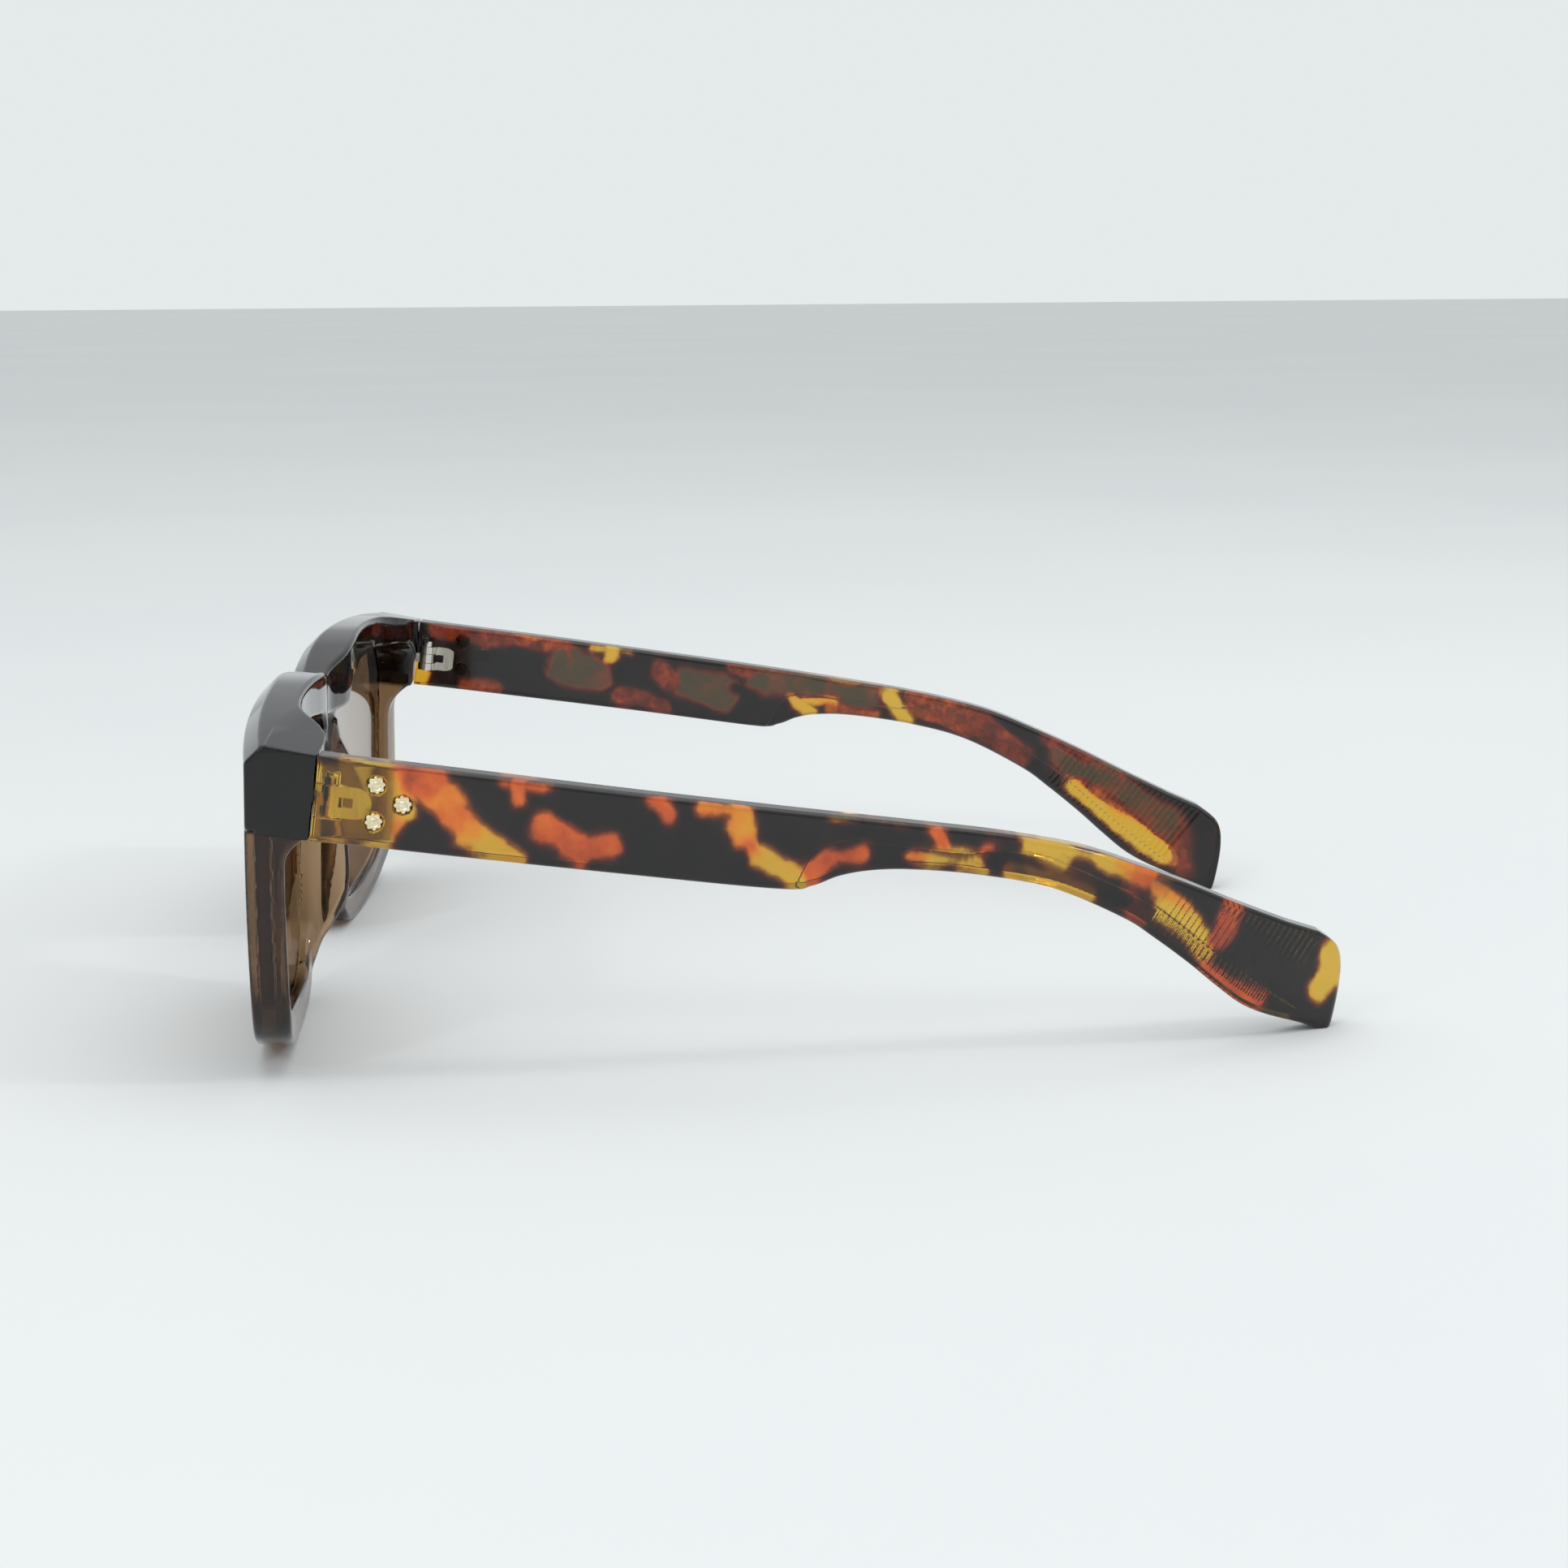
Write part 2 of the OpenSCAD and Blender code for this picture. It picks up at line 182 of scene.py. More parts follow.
# ------------------------------------------------------------------ surface of a signed field
def surface(f, lo, hi, h, steps=3):
    lo, hi = np.array(lo, float), np.array(hi, float)
    n = np.ceil((hi - lo) / h).astype(int) + 1
    ax = [lo[k] + h * np.arange(n[k]) for k in range(3)]
    v = np.empty(tuple(n))
    for a in range(0, n[0], 16):
        v[a:a + 16] = f(ax[0][a:a + 16][:, None, None], ax[1][None, :, None], ax[2][None, None, :])
    s = v < 0
    count = np.zeros(tuple(n - 1), np.uint8)
    for i in (0, 1):
        for j in (0, 1):
            for k in (0, 1):
                count += s[i:n[0] - 1 + i, j:n[1] - 1 + j, k:n[2] - 1 + k]
    mixed = (count > 0) & (count < 8)
    cells = np.argwhere(mixed)
    index = np.full(mixed.shape, -1, np.int64)
    index[mixed] = np.arange(len(cells))
    acc, cnt = np.zeros((len(cells), 3)), np.zeros(len(cells))
    for axis in range(3):
        for p in (0, 1):
            for q in (0, 1):
                o = [0, 0, 0]
                o[(axis + 1) % 3], o[(axis + 2) % 3] = p, q
                a = cells + o
                b = a.copy()
                b[:, axis] += 1
                va, vb = v[tuple(a.T)], v[tuple(b.T)]
                m = (va < 0) != (vb < 0)
                t = np.where(m, va / np.where(m, va - vb, 1), 0)
                pt = a.astype(float)
                pt[:, axis] += t
                acc[m] += pt[m]
                cnt[m] += 1
    verts = lo + h * acc / cnt[:, None]
    faces = []
    for axis in range(3):
        u, w = (axis + 1) % 3, (axis + 2) % 3
        sl = [slice(None)] * 3
        a, b = list(sl), list(sl)
        a[axis], b[axis] = slice(0, -1), slice(1, None)
        change = s[tuple(a)] != s[tuple(b)]
        e = np.argwhere(change)
        e = e[(e[:, u] > 0) & (e[:, w] > 0) & (e[:, u] < n[u] - 1) & (e[:, w] < n[w] - 1)]
        inside_first = s[tuple(e.T)]
        quad = []
        for du, dw in ((0, 0), (1, 0), (1, 1), (0, 1)):
            c = e.copy()
            c[:, u] -= du
            c[:, w] -= dw
            quad.append(index[tuple(c.T)])
        quad = np.stack(quad, 1)
        quad = np.where(inside_first[:, None], quad, quad[:, ::-1])
        faces.append(quad)
    faces = np.concatenate(faces)
    faces = faces[(faces >= 0).all(1)]
    e = 0.02
    for _ in range(steps):
        x, y, z = verts.T
        d = f(x, y, z)
        g = np.stack([f(x + e, y, z) - f(x - e, y, z), f(x, y + e, z) - f(x, y - e, z), f(x, y, z + e) - f(x, y, z - e)], 1) / (2 * e)
        g2 = np.maximum((g * g).sum(1), 0.2)
        move = -(d / g2)[:, None] * g
        size = np.linalg.norm(move, axis=1)
        move *= np.minimum(1, 0.6 * h / np.maximum(size, 1e-9))[:, None]
        verts = verts + move
    x, y, z = verts.T
    g = np.stack([f(x + e, y, z) - f(x - e, y, z), f(x, y + e, z) - f(x, y - e, z), f(x, y, z + e) - f(x, y, z - e)], 1)
    return verts, faces, g / np.maximum(np.linalg.norm(g, axis=1), 1e-9)[:, None]


def make_object(name, verts, faces, mat, attrs=None, flip=False, normals=None):
    me = bpy.data.meshes.new(name)
    faces = faces[:, ::-1] if flip else faces
    me.vertices.add(len(verts))
    me.vertices.foreach_set("co", (verts * MM).astype(np.float32).ravel())
    me.loops.add(faces.size)
    me.loops.foreach_set("vertex_index", faces.astype(np.int32).ravel())
    me.polygons.add(len(faces))
    me.polygons.foreach_set("loop_start", np.arange(0, faces.size, faces.shape[1], dtype=np.int32))
    me.update(calc_edges=True)
    me.validate()
    me.polygons.foreach_set("use_smooth", np.ones(len(me.polygons), bool))
    for key, val in (attrs or {}).items():
        a = me.attributes.new(key, "FLOAT", "POINT")
        a.data.foreach_set("value", val.astype(np.float32))
    if normals is not None:
        normals = normals / np.maximum(np.linalg.norm(normals, axis=1), 1e-9)[:, None]
        me.normals_split_custom_set_from_vertices(normals.tolist())
    me.materials.append(mat)
    ob = bpy.data.objects.new(name, me)
    scene.collection.objects.link(ob)
    return ob


# ------------------------------------------------------------------ materials
def material(name):
    m = bpy.data.materials.new(name)
    m.use_nodes = True
    nt = m.node_tree
    return m, nt, nt.nodes["Principled BSDF"], nt.nodes["Material Output"]


def node(nt, kind, **kw):
    n = nt.nodes.new(kind)
    for k, v in kw.items():
        if k.startswith("i_"):
            n.inputs[k[2:].replace("_", " ")].default_value = v
        else:
            setattr(n, k, v)
    return n


def noise(nt, co, scale, detail=3.0, rough=0.55, dist=0.0):
    n = node(nt, "ShaderNodeTexNoise")
    n.inputs["Scale"].default_value, n.inputs["Detail"].default_value = scale, detail
    n.inputs["Roughness"].default_value, n.inputs["Distortion"].default_value = rough, dist
    nt.links.new(co, n.inputs["Vector"])
    return n.outputs["Fac"]


def math_(nt, op, a, b=0.0, clamp=False):
    n = node(nt, "ShaderNodeMath", operation=op, use_clamp=clamp)
    for i, v in enumerate((a, b)):
        if hasattr(v, "links"):
            nt.links.new(v, n.inputs[i])
        else:
            n.inputs[i].default_value = v
    return n.outputs[0]


def ramp(nt, fac, stops, interp="LINEAR"):
    n = node(nt, "ShaderNodeValToRGB")
    r = n.color_ramp
    r.interpolation = interp
    while len(r.elements) < len(stops):
        r.elements.new(0.5)
    for e, (p, c) in zip(r.elements, stops):
        e.position, e.color = p, (*c, 1)
    nt.links.new(fac, n.inputs["Fac"])
    return n.outputs["Color"]


def mix(nt, fac, a, b):
    n = node(nt, "ShaderNodeMix", data_type="RGBA")
    for k, v in ((0, fac), (6, a), (7, b)):
        if hasattr(v, "links"):
            nt.links.new(v, n.inputs[k])
        else:
            n.inputs[k].default_value = v if k == 0 else (*v, 1)
    return n.outputs[2]


def bump(nt, height, strength, distance):
    n = node(nt, "ShaderNodeBump")
    n.inputs["Strength"].default_value, n.inputs["Distance"].default_value = strength, distance
    nt.links.new(height, n.inputs["Height"])
    return n.outputs["Normal"]


def coords(nt):
    return node(nt, "ShaderNodeTexCoord").outputs["Object"]


def attr(nt, name):
    return node(nt, "ShaderNodeAttribute", attribute_name=name).outputs["Fac"]


def tortoise():
    m, nt, p, out = material("tortoise_acetate")
    co = coords(nt)
    wob = math_(nt, "SUBTRACT", noise(nt, co, 420, 3, 0.6, 0.4), 0.5)
    fine = math_(nt, "SUBTRACT", noise(nt, co, 1500, 3), 0.5)
    cov = math_(nt, "ADD", attr(nt, "amber"), math_(nt, "ADD", math_(nt, "MULTIPLY", wob, 1.3), math_(nt, "MULTIPLY", fine, 0.2)))
    fac = math_(nt, "MULTIPLY", math_(nt, "ADD", cov, 0.7), 0.5, clamp=True)
    hue = math_(nt, "ADD", attr(nt, "hue"), math_(nt, "MULTIPLY", math_(nt, "SUBTRACT", noise(nt, co, 260, 4), 0.5), 0.7), clamp=True)
    body = ramp(nt, hue, [(0.0, (0.070, 0.050, 0.026)), (0.10, (0.085, 0.055, 0.024)), (0.22, (0.36, 0.045, 0.018)),
                          (0.42, (0.76, 0.12, 0.018)), (0.62, (0.86, 0.26, 0.02)), (0.82, (0.80, 0.40, 0.028)), (1.0, (0.74, 0.45, 0.04))])
    edge = ramp(nt, fac, [(0.36, (0.0, 0.0, 0.0)), (0.52, (0.4, 0.4, 0.4)), (0.66, (0.85, 0.85, 0.85)), (0.8, (1, 1, 1))])
    rim = mix(nt, edge, (0.24, 0.030, 0.010), body)
    dark = ramp(nt, noise(nt, co, 160, 4), [(0.35, (0.0045, 0.0035, 0.004)), (0.62, (0.011, 0.0075, 0.007)), (0.8, (0.03, 0.014, 0.009))])
    seen = ramp(nt, fac, [(0.02, (0, 0, 0)), (0.24, (0.12, 0.12, 0.12)), (0.42, (0.42, 0.42, 0.42)), (0.58, (1, 1, 1))])
    col = mix(nt, seen, dark, rim)
    nt.links.new(col, p.inputs["Base Color"])
    rough = math_(nt, "ADD", math_(nt, "MULTIPLY", noise(nt, co, 90, 4), 0.06), 0.03)
    nt.links.new(rough, p.inputs["Roughness"])
    nt.links.new(bump(nt, noise(nt, co, 900, 2), 0.02, 0.00002), p.inputs["Normal"])
    p.inputs["Transmission Weight"].default_value = 1.0
    p.inputs["IOR"].default_value = 1.49
    p.inputs["Coat Weight"].default_value = 0.1
    p.inputs["Coat Roughness"].default_value = 0.02
    return m


def smoke():
    m, nt, p, out = material("smoke_brown_acetate")
    co = coords(nt)
    col = ramp(nt, noise(nt, co, 55, 4, 0.6, 0.8), [(0.3, (0.62, 0.50, 0.38)), (0.7, (0.78, 0.64, 0.48))])
    col = mix(nt, attr(nt, "deep"), col, (0.012, 0.010, 0.010))
    nt.links.new(col, p.inputs["Base Color"])
    rough = math_(nt, "ADD", math_(nt, "MULTIPLY", noise(nt, co, 70, 4), 0.07), 0.015)
    nt.links.new(rough, p.inputs["Roughness"])
    nt.links.new(bump(nt, noise(nt, co, 900, 2), 0.02, 0.00002), p.inputs["Normal"])
    p.inputs["Transmission Weight"].default_value = 1.0
    p.inputs["IOR"].default_value = 1.49
    p.inputs["Specular IOR Level"].default_value = 0.36
    p.inputs["Coat Roughness"].default_value = 0.02
    v = node(nt, "ShaderNodeVolumeAbsorption")
    v.inputs["Color"].default_value = (0.50, 0.34, 0.14, 1)
    v.inputs["Density"].default_value = 430.0
    nt.links.new(v.outputs[0], out.inputs["Volume"])
    return m


def tinted():
    m, nt, p, out = material("brown_tinted_lens")
    co = coords(nt)
    sep = node(nt, "ShaderNodeSeparateXYZ")
    nt.links.new(co, sep.inputs[0])
    g = math_(nt, "ADD", math_(nt, "MULTIPLY", sep.outputs["Z"], 20.0), math_(nt, "MULTIPLY", noise(nt, co, 30, 3), 0.12))
    nt.links.new(ramp(nt, g, [(0.0, (0.30, 0.175, 0.085)), (1.0, (0.19, 0.105, 0.048))]), p.inputs["Base Color"])
    nt.links.new(math_(nt, "MULTIPLY", noise(nt, co, 120, 4), 0.03), p.inputs["Roughness"])
    p.inputs["Transmission Weight"].default_value = 1.0
    p.inputs["IOR"].default_value = 1.5
    p.inputs["Coat Weight"].default_value = 0.5
    p.inputs["Coat Roughness"].default_value = 0.01
    return m


def metal(name, lo, hi, rough, scale=(900, 900, 90)):
    m, nt, p, out = material(name)
    co = coords(nt)
    mp = node(nt, "ShaderNodeMapping")
    mp.inputs["Scale"].default_value = scale
    nt.links.new(co, mp.inputs["Vector"])
    n1 = noise(nt, mp.outputs["Vector"], 1.0, 4)
    nt.links.new(ramp(nt, n1, [(0.3, lo), (0.7, hi)]), p.inputs["Base Color"])
    nt.links.new(math_(nt, "ADD", math_(nt, "MULTIPLY", n1, 0.18), rough), p.inputs["Roughness"])
    nt.links.new(bump(nt, n1, 0.15, 0.00003), p.inputs["Normal"])
    p.inputs["Metallic"].default_value = 1.0
    return m


M_TEMPLE, M_FRONT, M_LENS = tortoise(), smoke(), tinted()
M_HINGE = metal("nickel_hinge", (0.58, 0.56, 0.50), (0.80, 0.78, 0.72), 0.16)
M_SCREW = metal("steel_screw", (0.62, 0.61, 0.58), (0.85, 0.84, 0.80), 0.12, (300, 300, 1500))
M_STUD = metal("pale_gold_stud", (0.80, 0.68, 0.42), (0.95, 0.88, 0.66), 0.20, (1500, 1500, 1500))

# ------------------------------------------------------------------ front
def bow(x):
    return 4.5 * (np.abs(x) / 73) ** 2.8 - 0.55


def arch(x):
    u = np.sqrt(x * x + 5.0)
    return np.where(u > 28, 1.6 - 2.4 * ((u - 28) / 45) ** 2, 1.6 - 4.7 * (np.maximum(28 - u, 0) / 28) ** 2.2)


half = [[7.5, -0.55, 12], [16, 0.95, 20], [28, 1.6, 30], [43, 1.33, 40], [58, 0.5, 40], [73, -0.85, 1], [73, -11.6, 0.8],
        [71.4, -12.1, 0.6], [70.85, -26, 20], [68.85, -39.6, 10], [54, -44.6, 22], [38, -46.5, 60], [20.5, -45.2, 10],
        [11.6, -20.5, 18], [7.6, -12.6, 5.5]]
outline = rounded(half + [[0, -11, 9]] + [[-a, b, r] for a, b, r in half[::-1]] + [[0, -2.5, 5]])
outline = soften(outline, 4.5, lambda p: (p[:, 1] > -5) & (np.abs(p[:, 0]) < 62) & (np.abs(p[:, 0]) > 4))
outline = Shape(soften(outline, 2.0, lambda p: (p[:, 1] < -15) | (np.abs(p[:, 0]) < 64)))


def eye_pts(g):
    return soften(rounded([[12.1 - g, -5.6 + g, 7 + g], [32, -3.7 + g, 60], [67 + g, -4.6 + g, 8 + g], [64 + g, -36.4 - g, 9 + g],
                    [51.5, -40.5 - g, 22], [37, -42.2 - g, 60], [20.6 - g, -41.4 - g, 12 + g], [15.4 - g, -24, 40]]), 1.4)


eye, eye_groove, eye_lens = Shape(eye_pts(0)), Shape(eye_pts(0.7)), Shape(eye_pts(0.64))
rear_line = smooth([[0, 5.3], [4, 5.5], [8, 6.3], [12, 7.1], [16, 7.45], [21.5, 7.5], [28, 7.35], [36, 7.3], [44, 7.6], [50, 8.4], [54, 9.6], [57.3, 11.1], [60, 12.2], [64, 12.8], [66.5, 12.95]], 20)
brow_plan = Shape([(-4, -6), (-4, 5.4)] + rear_line + [(73, 12.95), (78, 12.95), (78, -6)])
end_plan = Shape([(78, -6.6), (78, 0.26), (66, 0.26), (62, 0), (59.5, -1), (57, -2.3), (54, -4), (50, -5.5), (50, -6.6)])
ring = [(16.2 + 9 * math.cos(a), -20.5 + 9 * math.sin(a)) for a in np.linspace(math.radians(90 + 28), math.radians(180), 24)]
shoulder = Shape([(3, -20.5), (3, -7), (12, -7), (12, -11.5)] + ring)
pad_side = Shape(smooth([[2, -8], [5.4, -10], [6.3, -13.5], [8.2, -18], [9.9, -22.5], [10.7, -27.5], [10.4, -31.5], [8.8, -35], [6.9, -38], [5, -41], [2, -43.5]]))
pad_plan = Shape(smooth([[12.5, 0.5], [12.9, 4], [13.9, 7.5], [15.2, 10], [16.4, 10.9], [17, 10], [16.6, 7.5], [15.9, 4.5], [15.5, 0.5]]))


def sag(z):
    return 0.0011 * np.maximum(-z - 12, 0) ** 2


def lens_shell(ax, y):
    return np.abs(np.hypot(ax - 21.12, y - 300.97) - 299) - 1.0


def f_front(x, y, z):
    ax = np.abs(x)
    near_nose, near_end = np.min(ax) < 26, np.max(ax) > 44
    b, yq = bow(ax), y - sag(z)
    face = b - yq
    back = yq - b - 5.0
    brow = rmax(brow_plan(ax, y), -(z + 8.5), 1.0)
    d = rmin(back, brow, 1.6)
    if near_end:
        sh = rmax(shoulder(y, z), 60 - ax, 0.5)
        d = rmin(d, sh, 0.6)
    d = rmax(d, outline(ax, z), 0.75)
    d = rmax(d, face, 0.5)
    if near_end:
        yg, zg = g_of_p(y, z)
        e = rmax(rmax(end_plan(ax, yg), np.maximum(ax - 73, -(zg + 11.1)), 0.35), zg - 1.2, 0.3)
        d = rmin(d, e, 0.15)
    # eye opening
    d = rmax(d, -eye(ax, z), 0.7)
    if near_nose:
        xr = ax * 0.9613 + (z + 28) * 0.2756
        pad = rmax(pad_plan(xr, yq), pad_side(y, z), 0.9)
        pad = rmax(pad, outline(ax, z) - 1.8, 1.5)
        d = rmin(d, pad, 2.0)
    d = np.maximum(d, -np.maximum(eye_groove(ax, z), lens_shell(ax, yq) - 0.03))
    # top: falls to the rear at the endpieces, bevel along the front edge
    d = rmax(d, ((z + 1.9) + 0.174 * (y - 12.8) + 0.1 * (ax - 73)) / 1.02, 0.3)
    d = rmax(d, (z - arch(ax) + 2.3 - (y - b)) / 1.414, 0.3)
    return d


def turn(n, to_row):
    """Directions, not points."""
    return to_row(n) - to_row(np.zeros((1, 3)))


def settle(v):
    """The table: nothing goes below it, and nothing past the overall size."""
    v[:, 0] = np.clip(v[:, 0], -73.0, 73.0)
    v[:, 1] = np.minimum(v[:, 1], 75.04)
    v[:, 2] = np.maximum(v[:, 2], 0.0)
    return v


def deep(v):
    """1 where the plastic is thick: the brow bar and the endpieces."""
    ax, y, z = np.abs(v[:, 0]), v[:, 1], v[:, 2]
    yg, zg = g_of_p(y, z)
    end = step(58, 66, ax) * (1 - step(0.0, 0.7, -(zg + 11.0)))
    return np.maximum(step(-10.0, -7.5, z) * 0.85, end)


H = 0.33
v, f, g = surface(f_front, (-73.6, -1.6, -47.4), (73.6, 14.4, 2.6), H)
front = make_object("front_moulding", settle(row_of_p(v)), f, M_FRONT, {"deep": deep(v)}, normals=turn(g, row_of_p))
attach(front, "front"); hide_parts("frame_front")

# ------------------------------------------------------------------ lenses
def f_lens(x, y, z):
    return rmax(eye_lens(x, z), lens_shell(x, y - sag(z)), 0.25)


v, f, g = surface(f_lens, (9, -1, -44.5), (69.5, 9.5, -1.5), 0.42)
for side, s in (("left", 1), ("right", -1)):
    w = row_of_p(v * np.array([s, 1, 1]))
    ob = make_object("lens_pane_" + side, w, f, M_LENS, flip=s < 0, normals=turn(g * np.array([s, 1, 1]), row_of_p))
    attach(ob, "front"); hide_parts("lens_" + side)

# ------------------------------------------------------------------ temples
def inward(y):
    u = np.maximum(y, 0) / LEN
    return 25.5 * (0.03 * u + 0.17 * u * u + 0.8 * u ** 3)


top_pts = [[0.4, -0.05], [19, -0.1], [38, -0.25], [57, -0.4], [71, -0.55], [85, -0.85], [93, -1.35], [100, -2.2], [107, -3.9], [114.5, -6], [122, -8.4], [130, -10.8]]
tip_pts = [[135.2, -12.1], [138.4, -14.2], [139.5, -18.2], [139.2, -25.2], [138, -26]]
low_pts = [[134, -24.9], [129, -23.8], [125, -22.4], [121, -20], [116.5, -17], [111, -13.7], [106, -11.1], [96, -7.8], [86, -6.7], [77, -6.7],
           [71.5, -7.3], [67.5, -8.4], [64.2, -10], [60, -10.8], [40, -10.9], [20, -11], [0.4, -11.1]]
profile = Shape(smooth(top_pts, 16) + smooth(tip_pts, 10) + smooth(low_pts, 12))
crease = Shape(smooth([[60.5, -13.5], [61.9, -10.5], [63.7, -6.1], [67, -4.1], [75, -4.0], [83, -4.1], [87, -3.5], [94, -3.9], [104, -7], [111, -9.9], [118.7, -14.8],
                       [126, -19.3], [133.5, -23.4]], 6) + [(133.5, -36), (60.5, -36)], pad=2.0)


STUDS = ((8.0, -3.0), (8.1, -7.7), (11.5, -5.1))


def f_temple(t, y, z):
    """t runs across the thickness, +2.05 on the outer face."""
    r = 0.22 + 0.53 * step(0.4, 5, y)
    low = np.maximum(-crease(y, z), 0)
    s = (y - 120) * 0.885 - (z + 14) * 0.466
    ribs = (0.5 + 0.5 * np.cos(2 * math.pi * s / 0.92)) * step(-10.5, -8.5, s) * (1 - step(12.5, 14, s)) * step(0.5, 1.3, -profile(y, z))
    inner = -t - 2.05 + np.minimum(0.34 * low, 1.3) + 0.17 * np.minimum(low / 0.25, 1) + 0.2 * ribs
    d = rmax(profile(y, z), np.maximum(inner, t - 2.05), r)
    if np.min(y) < 8:
        x = t + 70.95 - inward(y)
        pocket = np.maximum(np.hypot(x - HX, y - AXIS_BACK) - 1.55, np.abs(z - LZ + 0.14) - 2.16)
        mouth = np.maximum(np.maximum(x - HX - 1.3, y - AXIS_BACK), np.abs(z - LZ + 0.14) - 2.16)
        head = np.maximum(np.hypot(x - HX, y - AXIS_BACK) - 1.05, np.abs(z - LZ - 1.8) - 1.8)
        d = np.maximum(d, -np.minimum(np.minimum(pocket, mouth), head))
    if np.min(y) < 14:
        for cy, cz in STUDS:
            d = np.maximum(d, -np.maximum(np.hypot(y - cy, z - cz) - 1.27, 1.5 - t))
    return d


# tortoiseshell windows: two ends of a soft stroke (y, z), its radius, and its warmth (0 olive, 0.2 red, 1 yellow)
LEFT = [(2.5, -3.2, 8.5, -3.0, 3.6, 0.98), (2.0, -7.6, 8.2, -7.6, 3.4, 0.95), (4, -5.5, 9.5, -5.5, 3.5, 1.0), (11, -1.2, 14.5, -2.4, 2.3, 0.34), (11, -3, 10.5, -8, 1.5, 0.4),
        (14, -2.4, 17.5, -5, 2.1, 0.55), (17, -5, 20.5, -8, 1.9, 0.5), (20, -8, 25.5, -10.4, 1.9, 0.85), (24.6, -0.6, 28.6, -0.6, 1.2, 0.42), (25.5, -1.2, 25.8, -3.0, 1.0, 0.42),
        (29.5, -6.1, 33, -7.6, 2.0, 0.40), (33, -8.0, 38.2, -7.7, 1.4, 0.40), (33, -9, 34.5, -9.8, 1.1, 0.35), (43, -0.8, 44.8, -2.8, 1.25, 0.38),
        (49.5, -0.8, 53.5, -1.0, 1.4, 0.62), (53.5, -1.5, 54.9, -5, 1.5, 0.66), (55, -5, 57, -7, 1.1, 0.45), (57.3, -7.2, 62.0, -8.9, 1.8, 0.92),
        (63.8, -8.6, 65.5, -6.6, 1.4, 0.36), (65.5, -6.2, 70.5, -5.0, 0.95, 0.36), (66, -0.3, 68, -0.3, 0.8, 0.95), (70, -0.4, 72, -0.4, 0.5, 0.3), (74, -0.4, 75, -0.4, 0.45, 0.3),
        (79.2, -1.0, 80.6, -3.8, 1.0, 0.45), (76.5, -4.8, 80, -4.8, 0.8, 0.6), (79, -4.9, 85, -4.5, 1.15, 1.0), (85.5, -4.2, 88, -1.8, 0.75, 0.3), (83, -5.8, 86, -6, 0.7, 0.9),
        (91.8, -1.7, 99.5, -2.0, 2.2, 1.0), (99, -2.3, 105.8, -3.6, 2.4, 0.97), (94, -3.6, 96.3, -4.6, 1.2, 1.0), (90, -6.1, 97, -6.5, 1.15, 0.9), (96, -6.7, 101, -8.6, 1.2, 0.9),
        (105, -3.6, 108.2, -5.4, 1.9, 0.45), (110.3, -7.4, 114.2, -9.6, 1.4, 0.66), (111.5, -9.6, 117, -13.2, 1.6, 1.0), (115, -11, 118.2, -15.4, 1.6, 0.95),
        (122.2, -8.6, 120.2, -13.2, 1.6, 0.30), (118.8, -18.2, 126.8, -21.9, 1.4, 0.28), (105.8, -8.2, 108.8, -10.8, 1.1, 0.26), (138, -14.6, 136.9, -20.2, 2.0, 1.0)]
LEFT_HOLES = [(-0.6, -0.2, 2.4, 0.1, 0.9), (4.0, -11.3, 8.6, -11.3, 0.5), (98.0, -4.6, 100.4, -4.8, 0.75), (103.5, -6.8, 105.5, -8.8, 1.4), (86.5, -1.4, 89.8, -3.0, 1.0)]
RIGHT = [(3.5, -0.8, 12, -1.6, 1.5, 0.24), (0.8, -7.6, 1.4, -11, 1.5, 0.85), (14, -1.2, 25, -0.9, 1.3, 0.36), (16.5, -0.4, 21.5, -0.4, 0.9, 0.85), (31, -0.3, 36.5, -0.3, 1.1, 1.0),
         (33.4, -0.8, 34, -2.2, 1.2, 0.95), (26, -4.5, 31, -5.5, 3.2, 0.06), (26, -1.5, 27, -3.6, 1.1, 0.4), (42.5, -3.4, 45.2, -5.3, 1.4, 0.3), (48, -5, 54, -6, 2.8, 0.05),
         (36, -8.5, 44, -9.5, 1.1, 0.25), (9, -10, 15, -10.4, 0.9, 0.35), (66.3, -5.2, 68.8, -6.8, 1.5, 0.9), (68, -4.7, 73.5, -4.4, 1.0, 0.85), (72, -0.9, 77, -0.8, 1.0, 0.7),
         (60, -3, 79, -2.6, 2.2, 0.07), (82.8, -2.3, 85.5, -5.8, 1.7, 1.0), (88, -3, 97, -5, 2.0, 0.45), (86, -1.2, 94, -1.8, 1.0, 0.4), (99, -5, 106, -9, 1.7, 0.28),
         (111, -5.4, 116.5, -7.2, 1.7, 0.34), (113, -8, 118, -11, 2.6, 0.07), (116.5, -12.6, 131, -21.2, 2.4, 1.0), (119, -11, 131, -16.6, 3.2, 0.10), (133, -17, 134.4, -23, 1.5, 0.25),
         (55, -1.2, 61, -1.5, 1.1, 0.26), (73, -6, 80, -6.2, 1.0, 0.55)]
RIGHT_HOLES = [(20, -4, 22, -5, 1.5), (56.5, -5, 60, -6, 1.4)]


def stroke(y, z, s):
    ay, az, by, bz, r = s[:5]
    ey, ez = by - ay, bz - az
    t = np.clip(((y - ay) * ey + (z - az) * ez) / (ey * ey + ez * ez), 0, 1)
    return r - np.hypot(y - ay - ey * t, z - az - ez * t)


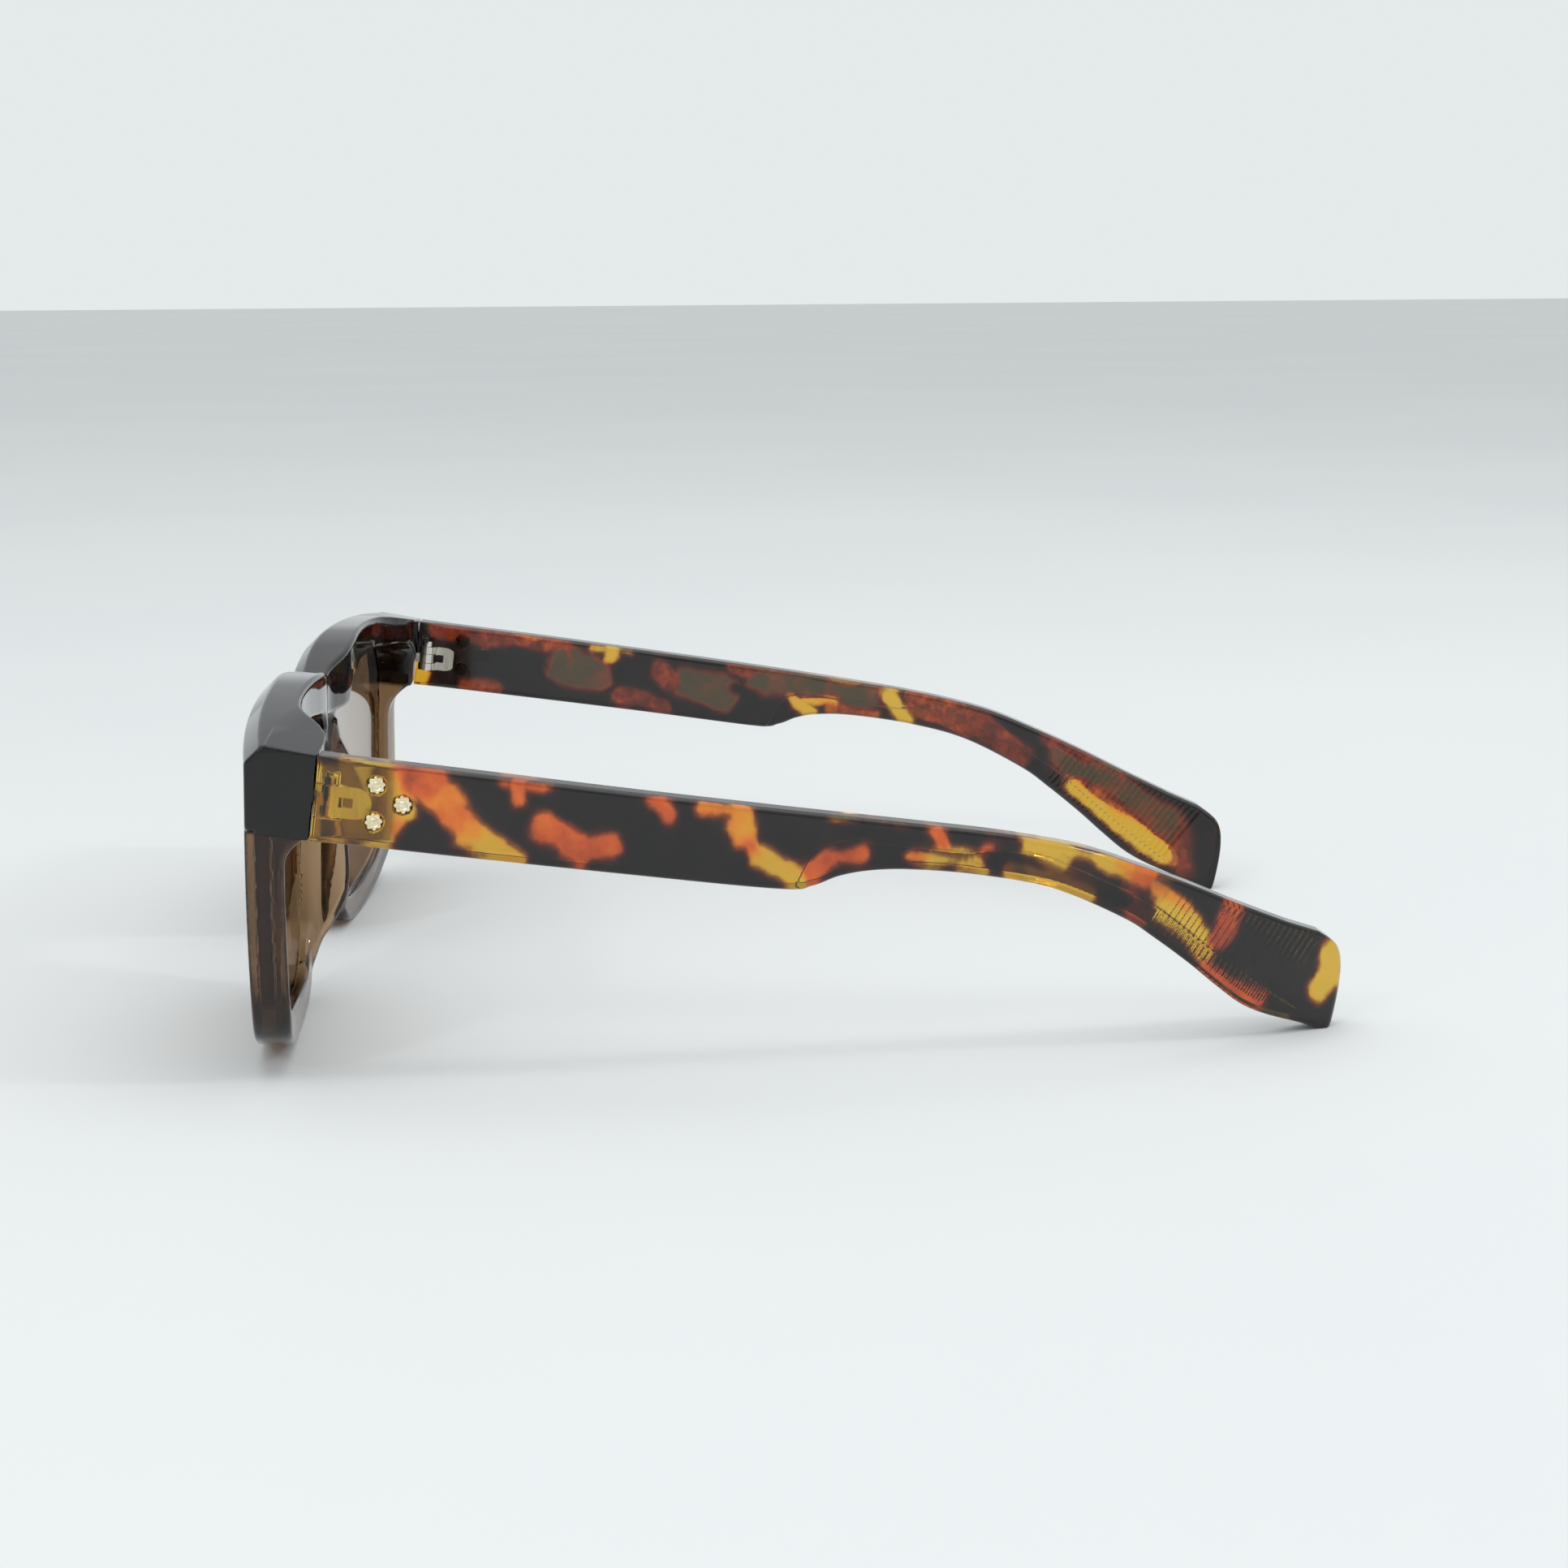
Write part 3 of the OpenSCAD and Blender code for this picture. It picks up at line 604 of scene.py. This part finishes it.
def pattern(y, z, strokes, holes):
    # slow warp so that the strokes wander like real shell
    wy = y + 0.35 * np.sin(1.0 * z + 0.35 * y) + 0.1 * np.sin(2.1 * z - 0.9 * y)
    wz = z + 0.3 * np.sin(0.7 * y + 0.5 * z) + 0.08 * np.sin(1.9 * y - 1.1 * z)
    amber, hue, total = np.full(y.shape, -3.0), np.zeros(y.shape), np.full(y.shape, 1e-6)
    for s in strokes:
        d = stroke(wy, wz, s)
        amber = np.maximum(amber, d)
        w = np.exp(4 * np.clip(d, -4, 1))
        hue += w * s[5]
        total += w
    for s in holes:
        amber = np.minimum(amber, -stroke(wy, wz, s))
    return amber + 0.3, hue / total


ht = 0.24
v, f, g = surface(f_temple, (-2.6, -0.2, -26.8), (2.6, 140.2, 0.6), ht)
for side, s, strokes, holes in (("left", 1, LEFT, LEFT_HOLES), ("right", -1, RIGHT, RIGHT_HOLES)):
    w = v.copy()
    w[:, 0] = s * (v[:, 0] + 70.95 - inward(v[:, 1]))
    slope = (inward(v[:, 1] + 0.01) - inward(v[:, 1] - 0.01)) / 0.02
    gn = np.stack([s * g[:, 0], g[:, 1] + g[:, 0] * slope, g[:, 2]], 1)
    amber, hue = pattern(v[:, 1], v[:, 2], strokes, holes)
    if s < 0:
        amber = np.minimum(amber, 0.25 + 1.5 * step(0.5, 0.85, hue) + 1.5 * (1 - step(0.08, 0.16, hue)))
    ob = make_object("temple_arm_" + side, settle(row_of_g(w)), f, M_TEMPLE, {"amber": amber, "hue": hue}, flip=s < 0, normals=turn(gn, row_of_g))
    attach(ob, "arm_" + side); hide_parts("temple_" + side)

# ------------------------------------------------------------------ studs: eight-fluted domed star heads
def star(name, centre, s):
    rings = [(-0.52, 0.0, 0), (-0.52, 1.2, 0.0), (-0.36, 1.24, 0.6), (-0.16, 1.22, 1), (-0.06, 1.08, 1), (-0.02, 0.88, 0.8), (-0.05, 0.68, 0.5),
             (-0.16, 0.56, 0.2), (-0.17, 0.48, 0), (-0.06, 0.4, 0), (-0.01, 0.28, 0), (0.0, 0.14, 0), (0.0, 0.0, 0)]
    n, verts, faces = 96, [], []
    for h, r, k in rings:
        for j in range(n):
            a = 2 * math.pi * j / n
            c = 0.5 + 0.5 * math.cos(8 * a)
            q = r * (1 - 0.22 * k * (1 - c) ** 1.4)
            verts.append((centre[0] + h, centre[1] + q * math.cos(a + 0.2), centre[2] + q * math.sin(a + 0.2)))
    for i in range(len(rings) - 1):
        for j in range(n):
            k = (j + 1) % n
            faces.append((i * n + j, i * n + k, (i + 1) * n + k, (i + 1) * n + j))
    verts = np.array(verts)
    verts[:, 0] *= s
    ob = make_object(name, row_of_g(verts), np.array(faces), M_STUD, flip=s < 0)
    bm = bmesh.new()
    bm.from_mesh(ob.data)
    bmesh.ops.remove_doubles(bm, verts=bm.verts, dist=1e-7)
    bmesh.ops.recalc_face_normals(bm, faces=bm.faces)
    bm.to_mesh(ob.data)
    bm.free()
    return ob


for side, s in (("left", 1), ("right", -1)):
    for part, (y, z) in (("upper", (8, -3)), ("lower", (8.1, -7.7)), ("rear", (11.5, -5.1))):
        # the head is flush with the temple, the star standing in a shallow cup
        ob = star("star_%s_%s" % (side, part), (HW - inward(np.array(float(y))) + (-0.02 if part != "rear" else 0.02), y, z), s)
        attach(ob, "arm_" + side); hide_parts("stud_%s_%s" % (side, part))

# ------------------------------------------------------------------ hinges and screws keep their CAD shape, with broken edges
for n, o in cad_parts.items():
    if "leaf" in n or "screw" in n:
        o.data.materials.clear()
        o.data.materials.append(M_SCREW if "screw" in n else M_HINGE)
        bv = o.modifiers.new("edges", "BEVEL")
        bv.width, bv.segments, bv.limit_method, bv.angle_limit = 0.00008, 2, "ANGLE", math.radians(40)

# ------------------------------------------------------------------ floor and light
def floor_material():
    m, nt, p, out = material("paper")
    co = coords(nt)
    nt.links.new(ramp(nt, noise(nt, co, 3.0, 5), [(0.3, (0.725, 0.752, 0.760)), (0.7, (0.755, 0.778, 0.782))]), p.inputs["Base Color"])
    p.inputs["Roughness"].default_value = 0.75
    p.inputs["Specular IOR Level"].default_value = 0.2
    nt.links.new(bump(nt, noise(nt, co, 1800, 3), 0.05, 0.0001), p.inputs["Normal"])
    return m


bm = bmesh.new()
bmesh.ops.create_grid(bm, x_segments=24, y_segments=24, size=9.0)
me = bpy.data.meshes.new("floor")
bm.to_mesh(me)
bm.free()
me.materials.append(floor_material())
floor = bpy.data.objects.new("floor", me)
scene.collection.objects.link(floor)

world = bpy.data.worlds.new("studio")
scene.world = world
world.use_nodes = True
nt = world.node_tree
bg = nt.nodes["Background"]
tc = node(nt, "ShaderNodeTexCoord")
sp = node(nt, "ShaderNodeSeparateXYZ")
nt.links.new(tc.outputs["Generated"], sp.inputs[0])
sky = ramp(nt, math_(nt, "ADD", math_(nt, "MULTIPLY", sp.outputs["Z"], 0.5), 0.5),
           [(0.48, (0.92, 0.965, 0.972)), (0.548, (0.92, 0.965, 0.972)), (0.588, (0.61, 0.635, 0.65)), (0.69, (0.62, 0.645, 0.66)), (0.80, (0.95, 0.98, 0.99)), (1.0, (1.0, 1.0, 1.0))])
nt.links.new(sky, bg.inputs["Color"])
bg.inputs["Strength"].default_value = 0.85


def area(name, loc, target, size, energy, color=(1, 1, 1)):
    l = bpy.data.lights.new(name, "AREA")
    l.shape, l.size, l.size_y, l.energy, l.color = "RECTANGLE", size[0], size[1], energy, color
    o = bpy.data.objects.new(name, l)
    o.location = loc
    o.rotation_euler = (Vector(target) - Vector(loc)).to_track_quat("-Z", "Y").to_euler()
    scene.collection.objects.link(o)


area("softbox", (0.1, 0.1, 1.1), (0, 0, 0), (1.2, 1.2), 4.6)
area("window", (0.25, 0.85, 0.75), (0, 0, 0.03), (0.10, 0.16), 1.5)
area("lamp", (0.75, -0.5, 0.6), (0, 0, 0.03), (0.08, 0.12), 0.8)
